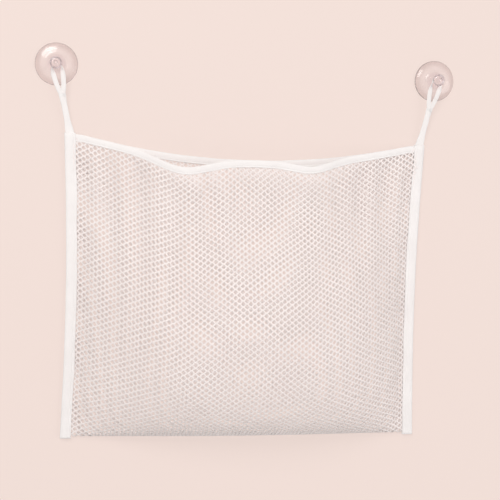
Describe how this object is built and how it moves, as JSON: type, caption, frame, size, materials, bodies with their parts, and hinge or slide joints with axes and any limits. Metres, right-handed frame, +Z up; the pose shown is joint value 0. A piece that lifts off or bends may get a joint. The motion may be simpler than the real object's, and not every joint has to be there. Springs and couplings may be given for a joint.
{
  "type": "bath toy bag",
  "caption": "Open-topped white mesh bag for bath toys, bound with tape and hung by two looped straps from clear suction cups with mushroom knobs.",
  "frame": {"origin": "on the wall's face, midway between the centres of the two suction cups", "axes": "+X to the right as seen from the room, +Y into the wall, +Z up"},
  "size_m": [0.463, 0.0789, 0.4265],
  "materials": {
    "white_netting": "soft white knitted polyester net",
    "white_tape": "white woven polyester binding tape, matt",
    "clear_vinyl": "clear soft vinyl, glossy"
  },
  "bodies": {
    "wall_cups": {"left_suction_cup": "clear_vinyl", "right_suction_cup": "clear_vinyl"},
    "left_strap": {"left_hanging_strap": "white_tape"},
    "right_strap": {"right_hanging_strap": "white_tape"},
    "bag": {"back_net": "white_netting", "front_net": "white_netting", "back_rim_binding": "white_tape", "front_rim_binding": "white_tape", "left_side_binding": "white_tape", "right_side_binding": "white_tape"}
  },
  "joints": [
    {"name": "left_strap_swing", "type": "hinge", "parent": "wall_cups", "child": "left_strap", "pos_m": [-0.20988, -0.0128, 0.00421], "axis": [-1, 0, 0], "range_deg": [0, 90]},
    {"name": "right_strap_swing", "type": "hinge", "parent": "wall_cups", "child": "right_strap", "pos_m": [0.20988, -0.0128, 0.00421], "axis": [-1, 0, 0], "range_deg": [0, 90]},
    {"name": "bag_swing", "type": "hinge", "parent": "left_strap", "child": "bag", "pos_m": [-0.194, -0.0046, -0.0716], "axis": [-1, 0, 0], "range_deg": [0, 90]}
  ],
  "couplings": [
    {"joint": "right_strap_swing", "follows": "left_strap_swing", "ratio": 1}
  ]
}
